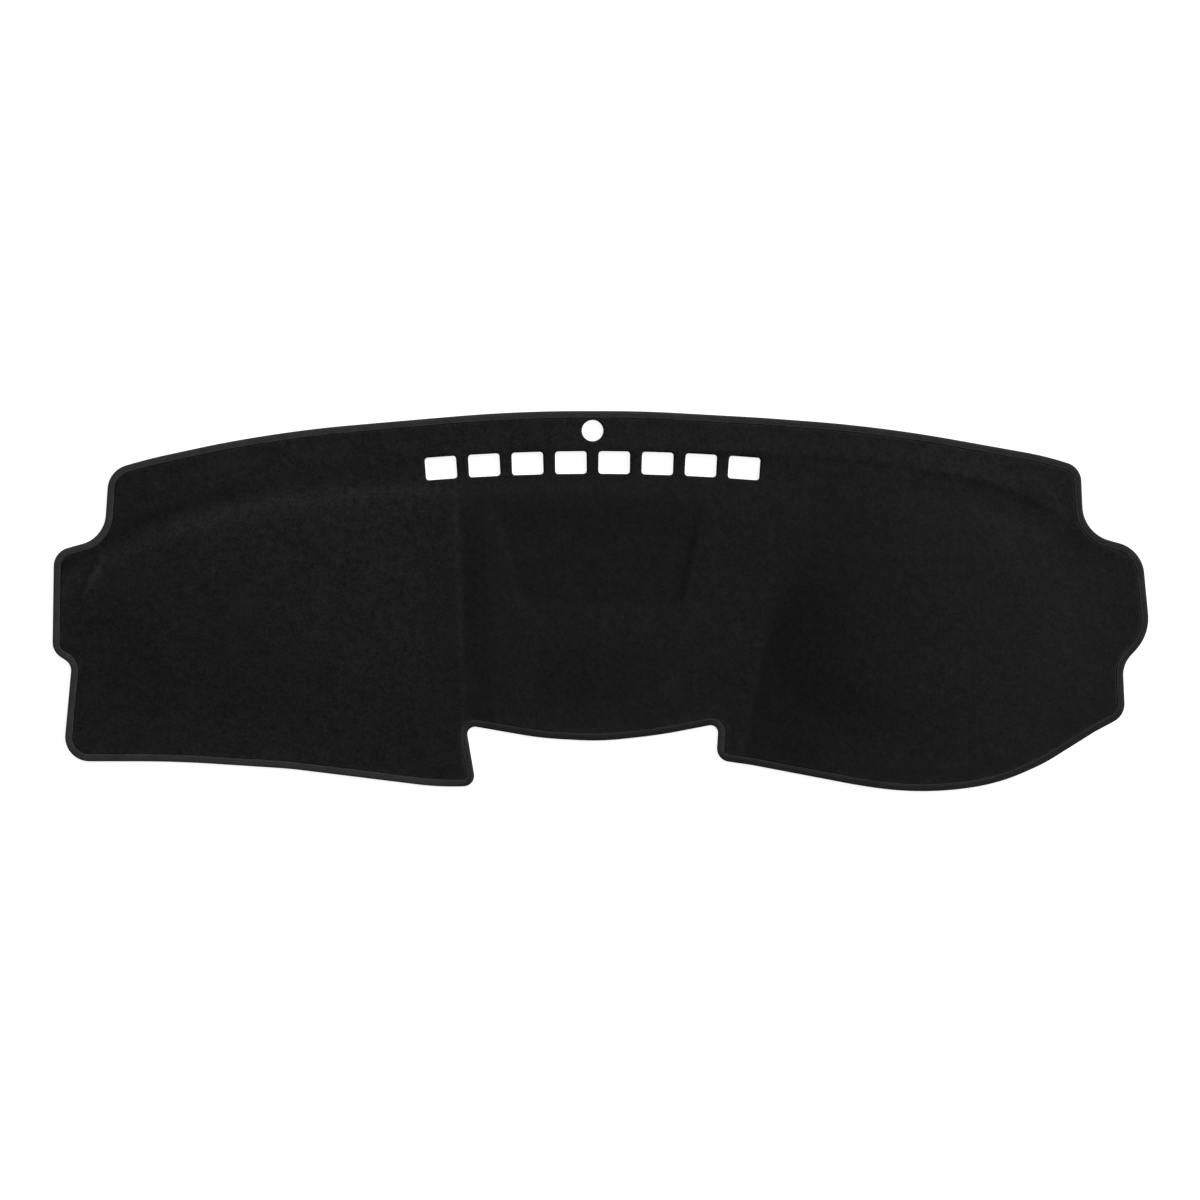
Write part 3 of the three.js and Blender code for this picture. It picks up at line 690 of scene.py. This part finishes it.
def pile(x, y, from_edge, from_hole, seed):
    """Unevenness of the pile's surface."""
    rng = np.random.default_rng(seed)
    rise = np.clip(rng.normal(0, TUFT_SPREAD, len(x)), -TUFT_LIMIT, TUFT_LIMIT)
    for number, (height, size) in enumerate(PILE_LUMPS, 1):
        rise += height * cloud(x, y, size, seed + number)
    cut = CUT_DEPTH * (1 - smooth(from_hole / CUT_REACH)) ** CUT_POWER
    return rise * fade(from_edge, PILE_EDGE) * smooth(from_hole / CUT_CALM) - cut


def make_carpet(material):
    top, top_faces, top_loops = triangulate(*face_points(TOP_CELL, EDGE_RINGS, HOLE_RINGS, 11))
    under, under_faces, under_loops = triangulate(
        *face_points(UNDER_CELL, UNDER_EDGE_RINGS, UNDER_HOLE_RINGS, 12)
    )
    top_z, from_edge, from_hole = carpet_heights(top, True)
    top_z = top_z + pile(*top.T, from_edge, from_hole, 21)
    under_z, _, _ = carpet_heights(under, False)
    walls = []
    for number, (loop, under_loop) in enumerate(zip(top_loops, under_loops)):
        below = under_loop + len(top)
        wall = np.concatenate([
            np.stack([loop, below, np.roll(below, -1)], 1),
            np.stack([loop, np.roll(below, -1), np.roll(loop, -1)], 1),
        ])
        walls.append(wall if number == 0 else wall[:, ::-1])
    faces = np.concatenate([top_faces, under_faces[:, ::-1] + len(top), *walls])
    points = np.concatenate([np.column_stack([top, top_z]), np.column_stack([under, under_z])])
    # Painted light and shade on the top, and none on the underside.
    painted_light_values = np.concatenate([painted_light_and_shade(*top.T, from_edge), np.zeros(len(under))])
    naps = np.concatenate([nap(*top.T), np.ones(len(under))])
    return make_object("carpet_sheet", points, faces, material,
                       attributes=[("painted_light_and_shade", painted_light_values), ("nap", naps)])


# Tape. Its tones are painted light and shade by the side that the tape faces. Tones go with the
# places in the line below them.

TAPE_REAR_TONES = (1.40, 1.10)
TAPE_REAR_X = (-300, 300)
TAPE_FRONT_TONES = (1.06, 0.25, 0.25, 0.31)
TAPE_FRONT_X = (-215, -150, 150, 215)
TAPE_LEFT_TONES = (1.2, 0.8)
TAPE_LEFT_X = (-400, 0)
TAPE_RIGHT_TONE = 0.95
LIP_PAINTED_LIGHT = 0.5
LIP_PAINTED_LIGHT_TO_REAR = -0.35
LIP_PAINTED_LIGHT_TO_FRONT = 0.4
LIP_PAINTED_LIGHT_EDGE = (6, 9.2)


def tape_profile():
    """The tape's section as (inset, z), from its inner top edge round the nose and back inside."""
    nose = TAPE_HEIGHT / 2
    top = [(TAPE_WIDTH - 0.02, TAPE_HEIGHT - TAPE_SINK - 0.2)]
    for inset in (TAPE_WIDTH, 8.8, 8.0, SEAM_INSET, 6.8, 5.6, 4.2, 3.0):
        share = (inset - nose) / (TAPE_WIDTH - nose)
        top.append((inset, TAPE_HEIGHT - TAPE_SINK * share))
    turns = np.linspace(math.pi / 2, -math.pi / 2, 7)
    round_nose = [(nose - nose * math.cos(t), nose + nose * math.sin(t)) for t in turns]
    bottom = [(4.6, 0.0), (SEAM_INSET, 0.0), (TAPE_WIDTH, 0.0)]
    inner = nose - TAPE_THICKNESS
    inside = [(TAPE_WIDTH, TAPE_THICKNESS)]
    turns = np.linspace(-math.pi / 2, math.pi / 2, 4)
    inside += [(nose - inner * math.cos(t), nose + inner * math.sin(t)) for t in turns]
    inside.append((TAPE_WIDTH - 0.05, TAPE_HEIGHT - TAPE_SINK - TAPE_THICKNESS))
    return np.array(top + round_nose + bottom + inside)


def tape_surface(along, inset, z):
    """How the sewn tape departs from its plain section: (inward shift, rise)."""
    on_top = z > TAPE_TOP_FROM
    hole = 0.5 + 0.5 * np.cos(2 * math.pi * along / (PERIMETER / STITCH_COUNT))
    dip = -SEAM_DIP * bell(inset, SEAM_INSET, SEAM_HALF_WIDTH) * (1 + hole)
    place = along * TAPE_CLOUD_SCALE
    change = 1 + SWELL_CHANGE * cloud(place, np.zeros_like(place), SWELL_CLOUD, 31)
    swell = SWELL_HEIGHT * bell(inset, SWELL_INSET, SWELL_HALF_WIDTH) * change
    waver = cloud(place + LIP_CLOUD_START, np.full_like(place, LIP_CLOUD), LIP_CLOUD, 32)
    lip = LIP_WAVER * fade(inset, LIP_EDGE) * waver
    return np.where(on_top, lip, 0.0), np.where(on_top, dip + swell, 0.0)


def tape_painted_light():
    """Painted light and shade of the tape by the side that it faces: (tone, painted light on its inner
    edge).
    """
    out_x, out_y = -INWARD.T
    x = EDGE[:, 0]
    to_rear = smooth(out_y)
    to_front = smooth(-out_y)
    to_side = 1 - to_rear - to_front
    tone = to_rear * np.interp(x, TAPE_REAR_X, TAPE_REAR_TONES)
    tone += to_front * np.interp(x, TAPE_FRONT_X, TAPE_FRONT_TONES)
    left = np.interp(x, TAPE_LEFT_X, TAPE_LEFT_TONES)
    tone += to_side * np.where(out_x < 0, left, TAPE_RIGHT_TONE)
    return tone, LIP_PAINTED_LIGHT + LIP_PAINTED_LIGHT_TO_REAR * to_rear + LIP_PAINTED_LIGHT_TO_FRONT * to_front


def make_tape(material):
    profile = tape_profile()
    count = len(profile)
    along = np.repeat(ALONG, count)
    inset = np.tile(profile[:, 0], len(ALONG))
    z = np.tile(profile[:, 1], len(ALONG))
    shift, rise = tape_surface(along, inset, z)
    base = np.repeat(EDGE, count, axis=0)
    normal = np.repeat(INWARD, count, axis=0)
    points = np.column_stack([base + normal * (inset + shift)[:, None], z + rise])
    # The tape's painted light and shade: by the side it faces, and lighter on its inner edge.
    tone, inner_edge_light = tape_painted_light()
    tone = np.repeat(tone, count) + fade(inset, LIP_PAINTED_LIGHT_EDGE) * np.repeat(inner_edge_light, count)
    rows = np.arange(len(ALONG))[:, None] * count
    next_rows = np.roll(rows, -1, axis=0)
    ring = np.arange(count)
    next_ring = np.roll(ring, -1)
    corners = (rows + ring, rows + next_ring, next_rows + next_ring, next_rows + ring)
    faces = np.stack([corner.ravel() for corner in corners], 1)
    return make_object("binding_tape", points, faces, material,
                       attributes=[("along", along), ("inset", inset), ("tone", tone)])


# Seam

def thread(middle, sway, level, arch):
    """Rings of points round one stitch, whose two ends sway aside."""
    stations = np.linspace(-1, 1, THREAD_RINGS)
    at, inward = walk(PIECES, (middle + stations * STITCH_SHOWN / 2) % PERIMETER)
    inset = SEAM_INSET + np.interp(stations, [-1, 1], sway)
    lift = THREAD_RADIUS * (arch[0] + arch[1] * np.abs(stations) ** 4)
    centre = np.column_stack([at + inward * inset[:, None], level + lift])
    side = np.column_stack([inward, np.zeros(len(inward))])
    turns = np.linspace(0, 2 * math.pi, THREAD_SIDES, endpoint=False)
    radius = THREAD_RADIUS * (1 - THREAD_TAPER * np.abs(stations[:, None]) ** 3)
    outward = side[:, None] * (np.cos(turns) * radius)[:, :, None]
    upward = np.array((0.0, 0.0, 1.0)) * (np.sin(turns) * radius)[:, :, None]
    return (centre[:, None] + outward + upward).reshape(-1, 3)


def thread_faces(start):
    """Faces of one stitch whose points begin at start: its sides and its two ends."""
    faces = []
    for row in range(THREAD_RINGS - 1):
        for k in range(THREAD_SIDES):
            a = start + row * THREAD_SIDES + k
            b = start + row * THREAD_SIDES + (k + 1) % THREAD_SIDES
            faces.append((a, b, b + THREAD_SIDES, a + THREAD_SIDES))
    ring = np.arange(THREAD_SIDES)
    faces.append(tuple(start + ring[::-1]))
    faces.append(tuple(start + (THREAD_RINGS - 1) * THREAD_SIDES + ring))
    return faces


def make_stitches(material):
    """One short arched thread for each stitch, on the top and under the tape."""
    middles = (np.arange(STITCH_COUNT) + 0.5) * PERIMETER / STITCH_COUNT
    rng = np.random.default_rng(41)
    nose = TAPE_HEIGHT / 2
    seam_top = TAPE_HEIGHT - TAPE_SINK * (SEAM_INSET - nose) / (TAPE_WIDTH - nose)
    points = []
    faces = []
    for level, arch in ((seam_top - SEAM_DIP, THREAD_ON_TOP), (THREAD_BELOW_LEVEL, THREAD_BELOW)):
        sways = rng.normal(0, THREAD_SWAY, (STITCH_COUNT, 2))
        for middle, sway in zip(middles, sways):
            faces += thread_faces(len(points) * THREAD_RINGS * THREAD_SIDES)
            points.append(thread(middle, sway, level, arch))
    return make_object("binding_stitches", np.concatenate(points), faces, material)


# Materials

class Nodes:
    """Short calls for building a material's node tree."""

    def __init__(self, name):
        self.material = bpy.data.materials.new(name)
        self.material.use_nodes = True
        self.tree = self.material.node_tree
        self.tree.nodes.clear()
        self.output = self.tree.nodes.new("ShaderNodeOutputMaterial")

    def add(self, kind, inputs=None, **settings):
        node = self.tree.nodes.new("ShaderNode" + kind)
        for key, value in settings.items():
            setattr(node, key, value)
        for key, value in (inputs or {}).items():
            self.put(node, key, value)
        return node

    def put(self, node, key, value):
        if isinstance(value, bpy.types.NodeSocket):
            self.tree.links.new(value, node.inputs[key])
        else:
            node.inputs[key].default_value = value

    def math(self, operation, a, b=0.0):
        return self.add("Math", {0: a, 1: b}, operation=operation).outputs[0]

    def total(self, *weighted):
        """The sum of values, each times its weight."""
        parts = [self.math("MULTIPLY", value, weight) for value, weight in weighted]
        summed = parts[0]
        for part in parts[1:]:
            summed = self.math("ADD", summed, part)
        return summed

    def point_value(self, name):
        """A value that the mesh holds at each of its points."""
        return self.add("Attribute", attribute_name=name, attribute_type="GEOMETRY").outputs["Fac"]

    def noise(self, vector, scale, detail, roughness):
        inputs = {"Vector": vector, "Scale": scale, "Detail": detail, "Roughness": roughness}
        return self.add("TexNoise", inputs).outputs["Fac"]

    def range(self, value, low, high, to_low, to_high):
        inputs = {
            "Value": value, "From Min": low, "From Max": high, "To Min": to_low, "To Max": to_high,
        }
        return self.add("MapRange", inputs, interpolation_type="SMOOTHSTEP").outputs[0]

    def stretched(self, vector, turn, scale):
        """The coordinates turned about Z and then scaled along each axis."""
        turned = self.add("Mapping", {"Vector": vector, "Rotation": (0, 0, turn)}).outputs[0]
        return self.add("Mapping", {"Vector": turned, "Scale": scale}).outputs[0]

    def grey(self, value):
        return self.add("CombineColor", {0: value, 1: value, 2: value}).outputs[0]

    def finish(self, shader):
        self.tree.links.new(shader.outputs[0], self.output.inputs["Surface"])
        return self.material


PILE_DARK = 0.0050
PILE_LIGHT = 0.0190
PILE_NOISE = (0.358, 0.678)
TAPE_DARK = 0.014
TAPE_LIGHT = 0.037
TAPE_NOISE = (0.2, 0.65)
THREAD_DARK = 0.022
THREAD_LIGHT = 0.045
THREAD_NOISE = (0.3, 0.7)
RIB_PITCH = 0.62
PICK_PITCH = 0.48
FIBRE_SCALES = ((320, 1700, 900), (300, 1600, 900))
FIBRE_TURNS = (0.5, -0.9)


def carpet_material():
    n = Nodes("carpet_pile")
    place = n.add("TexCoord").outputs["Object"]
    speckle = n.noise(place, 620, 3, 0.7)
    fleck = n.noise(place, 260, 2, 0.6)
    mottle = n.noise(place, 95, 2, 0.5)
    patches = n.noise(place, 24, 2, 0.5)
    layers = [
        n.noise(n.stretched(place, turn, scale), 1, 1, 0.5)
        for turn, scale in zip(FIBRE_TURNS, FIBRE_SCALES)
    ]
    fibres = n.math("MAXIMUM", *layers)
    tone = n.total((speckle, 0.38), (fleck, 0.36), (mottle, 0.21), (patches, 0.09))
    middle = (PILE_DARK + PILE_LIGHT) / 2
    level = n.range(tone, *PILE_NOISE, PILE_DARK - middle, PILE_LIGHT - middle)
    level = n.math("ADD", n.math("MULTIPLY", level, n.point_value("nap")), middle)
    # The pile's painted light and shade makes the colour lighter or darker.
    level = n.math("MULTIPLY", level, n.math("ADD", n.point_value("painted_light_and_shade"), 1.0))
    height = n.total((speckle, 0.5), (fibres, 0.5))
    bump = n.add("Bump", {"Strength": 0.75, "Distance": 0.0009, "Height": height})
    shader = n.add("BsdfPrincipled", {
        "Base Color": n.grey(level),
        "Roughness": 0.96,
        "Specular IOR Level": 0.18,
        "Sheen Weight": 0.05,
        "Sheen Roughness": 0.45,
        "Sheen Tint": (1, 1, 1, 1),
        "Normal": bump.outputs[0],
    })
    return n.finish(shader)


def tape_material():
    n = Nodes("binding_tape")
    place = n.add("TexCoord").outputs["Object"]
    ribs = n.math("SINE", n.math("MULTIPLY", n.point_value("along"), 2 * math.pi / RIB_PITCH))
    picks = n.math("SINE", n.math("MULTIPLY", n.point_value("inset"), 2 * math.pi / PICK_PITCH))
    weave = n.total((ribs, 0.35), (picks, 0.2))
    fuzz = n.noise(place, 900, 2, 0.6)
    patches = n.noise(place, 55, 2, 0.5)
    tone = n.total((fuzz, 0.5), (patches, 0.3), (weave, 0.16))
    level = n.range(tone, *TAPE_NOISE, TAPE_DARK, TAPE_LIGHT)
    # Times the tape's painted light and shade.
    level = n.math("MULTIPLY", level, n.point_value("tone"))
    height = n.total((weave, 1.0), (fuzz, 0.4))
    bump = n.add("Bump", {"Strength": 0.6, "Distance": 0.00025, "Height": height})
    shader = n.add("BsdfPrincipled", {
        "Base Color": n.grey(level),
        "Roughness": 0.78,
        "Specular IOR Level": 0.35,
        "Sheen Weight": 0.06,
        "Sheen Roughness": 0.4,
        "Normal": bump.outputs[0],
    })
    return n.finish(shader)


def thread_material():
    n = Nodes("sewing_thread")
    place = n.add("TexCoord").outputs["Object"]
    twist = n.noise(place, 1800, 1, 0.5)
    level = n.range(twist, *THREAD_NOISE, THREAD_DARK, THREAD_LIGHT)
    bump = n.add("Bump", {"Strength": 0.4, "Distance": 0.0001, "Height": twist})
    shader = n.add("BsdfPrincipled", {
        "Base Color": n.grey(level),
        "Roughness": 0.5,
        "Specular IOR Level": 0.4,
        "Normal": bump.outputs[0],
    })
    return n.finish(shader)


def floor_material():
    """A white floor that keeps its shadows, and reads as full white to the camera and in reflections."""
    n = Nodes("floor")
    rays = n.add("LightPath").outputs
    seen = n.math("MAXIMUM", rays["Is Camera Ray"], rays["Is Glossy Ray"])
    seen = n.math("MAXIMUM", seen, rays["Is Transmission Ray"])
    paint = n.add("BsdfDiffuse", {"Color": (FLOOR_GREY, FLOOR_GREY, FLOOR_GREY, 1)})
    glow = n.add("Emission", {"Color": (1, 1, 1, 1), "Strength": n.math("MULTIPLY", seen, FLOOR_GLOW)})
    both = n.add("AddShader", {0: paint.outputs[0], 1: glow.outputs[0]})
    return n.finish(both)


# Light, floor and camera

PHOTO_WIDTH_AT_FLOOR = 1.6205
LENS = 85.0
SENSOR = 36.0
CAMERA_X = -0.00065
CAMERA_Y = 0.00145
FLOOR_HALF = 30
FLOOR_SINK = 0.0003
FLOOR_GREY = 0.8
FLOOR_GLOW = 0.8
WORLD_STRENGTH = 0.24
KEY_STRENGTH = 2.55
KEY_AZIMUTH = 55  # 0 shines from +Y and 90 from +X
KEY_ELEVATION = 27
KEY_SOFTNESS = 18


def make_floor():
    corners = [(x * FLOOR_HALF, y * FLOOR_HALF, 0) for x, y in ((-1, -1), (1, -1), (1, 1), (-1, 1))]
    mesh = bpy.data.meshes.new("floor")
    mesh.from_pydata(corners, [], [(0, 1, 2, 3)])
    mesh.materials.append(floor_material())
    floor = bpy.data.objects.new("floor", mesh)
    floor.location.z = -FLOOR_SINK
    bpy.context.scene.collection.objects.link(floor)


def make_camera():
    camera = bpy.data.cameras.new("camera")
    camera.lens = LENS
    camera.sensor_width = SENSOR
    made = bpy.data.objects.new("camera", camera)
    made.location = (CAMERA_X, CAMERA_Y, PHOTO_WIDTH_AT_FLOOR * LENS / SENSOR)
    bpy.context.scene.collection.objects.link(made)
    bpy.context.scene.camera = made


def make_sun():
    light = bpy.data.lights.new("key", "SUN")
    light.energy = KEY_STRENGTH
    light.angle = math.radians(KEY_SOFTNESS)
    made = bpy.data.objects.new("key", light)
    a = math.radians(KEY_AZIMUTH)
    e = math.radians(KEY_ELEVATION)
    towards = Vector((math.sin(a) * math.cos(e), math.cos(a) * math.cos(e), math.sin(e)))
    made.rotation_mode = "QUATERNION"
    made.rotation_quaternion = towards.to_track_quat("Z", "Y")
    bpy.context.scene.collection.objects.link(made)


def make_world():
    world = bpy.data.worlds.new("studio")
    world.use_nodes = True
    background = world.node_tree.nodes["Background"]
    background.inputs["Color"].default_value = (1, 1, 1, 1)
    background.inputs["Strength"].default_value = WORLD_STRENGTH
    bpy.context.scene.world = world


make_camera()
make_floor()
make_world()
make_sun()
bpy.context.scene.view_settings.view_transform = "Standard"

carpet = make_carpet(carpet_material())
tape = make_tape(tape_material())
stitches = make_stitches(thread_material())

for piece in (carpet, tape, stitches):
    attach(piece, "root")
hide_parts("carpet")
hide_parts("edge_binding")
